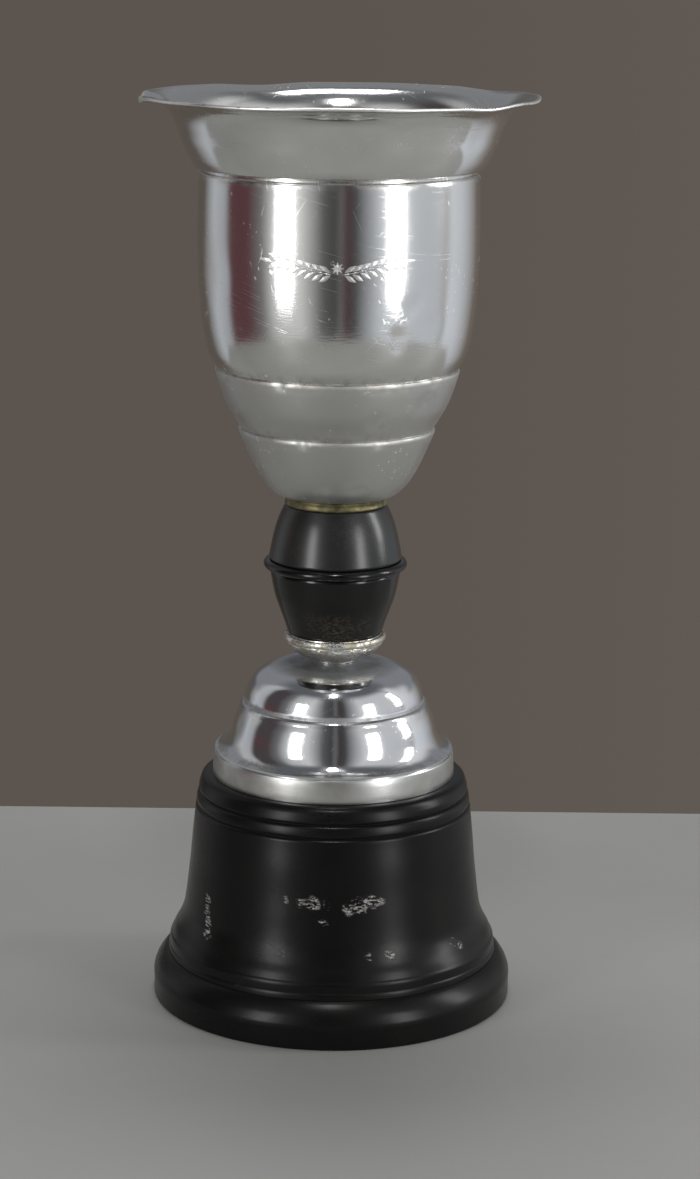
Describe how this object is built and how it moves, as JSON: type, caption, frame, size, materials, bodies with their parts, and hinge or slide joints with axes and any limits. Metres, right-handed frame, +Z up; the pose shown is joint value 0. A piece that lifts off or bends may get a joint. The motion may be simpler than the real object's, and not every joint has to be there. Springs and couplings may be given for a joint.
{
  "type": "cup trophy",
  "caption": "Metal cup trophy: flared bowl with stepped rings on a black knop with a bead, a dished collar, a stepped chrome foot and a hollow black plinth.",
  "frame": {"origin": "centre of the plinth's underside, where the trophy's axis meets the surface that it stands on", "axes": "+Z up along the trophy's axis, from the plinth to the cup's mouth; -Y is the side seen in the picture and +X its right"},
  "size_m": [0.108, 0.108, 0.251],
  "materials": {
    "cup_metal": "polished sheet, lightly tarnished, with fine scratches and small dents",
    "tarnished_brass": "dull, brown-green tarnish",
    "knop_satin": "black moulded plastic, satin, a little dusty",
    "knop_gloss": "black moulded plastic, glossy, with brown smudges near the bottom",
    "worn_nickel": "worn plating, dull and pitted",
    "foot_chrome": "mirror chrome, lightly hazed",
    "satin_aluminium": "satin, turned",
    "black_bakelite": "black moulded plastic, worn satin gloss with pale scuffs",
    "zinc_steel": "zinc-plated, dull"
  },
  "bodies": {
    "root": {"plinth": "black_bakelite", "foot_ring": "satin_aluminium", "foot_dome": "foot_chrome", "stem_collar": "worn_nickel", "knop_lower": "knop_gloss", "knop_bead": "knop_gloss", "knop_upper": "knop_satin", "cup_seat_ring": "tarnished_brass", "cup_bowl": "cup_metal", "tie_rod": "zinc_steel", "cup_washer": "zinc_steel", "cup_nut": "zinc_steel", "plinth_washer": "zinc_steel", "plinth_nut": "zinc_steel"}
  },
  "joints": []
}
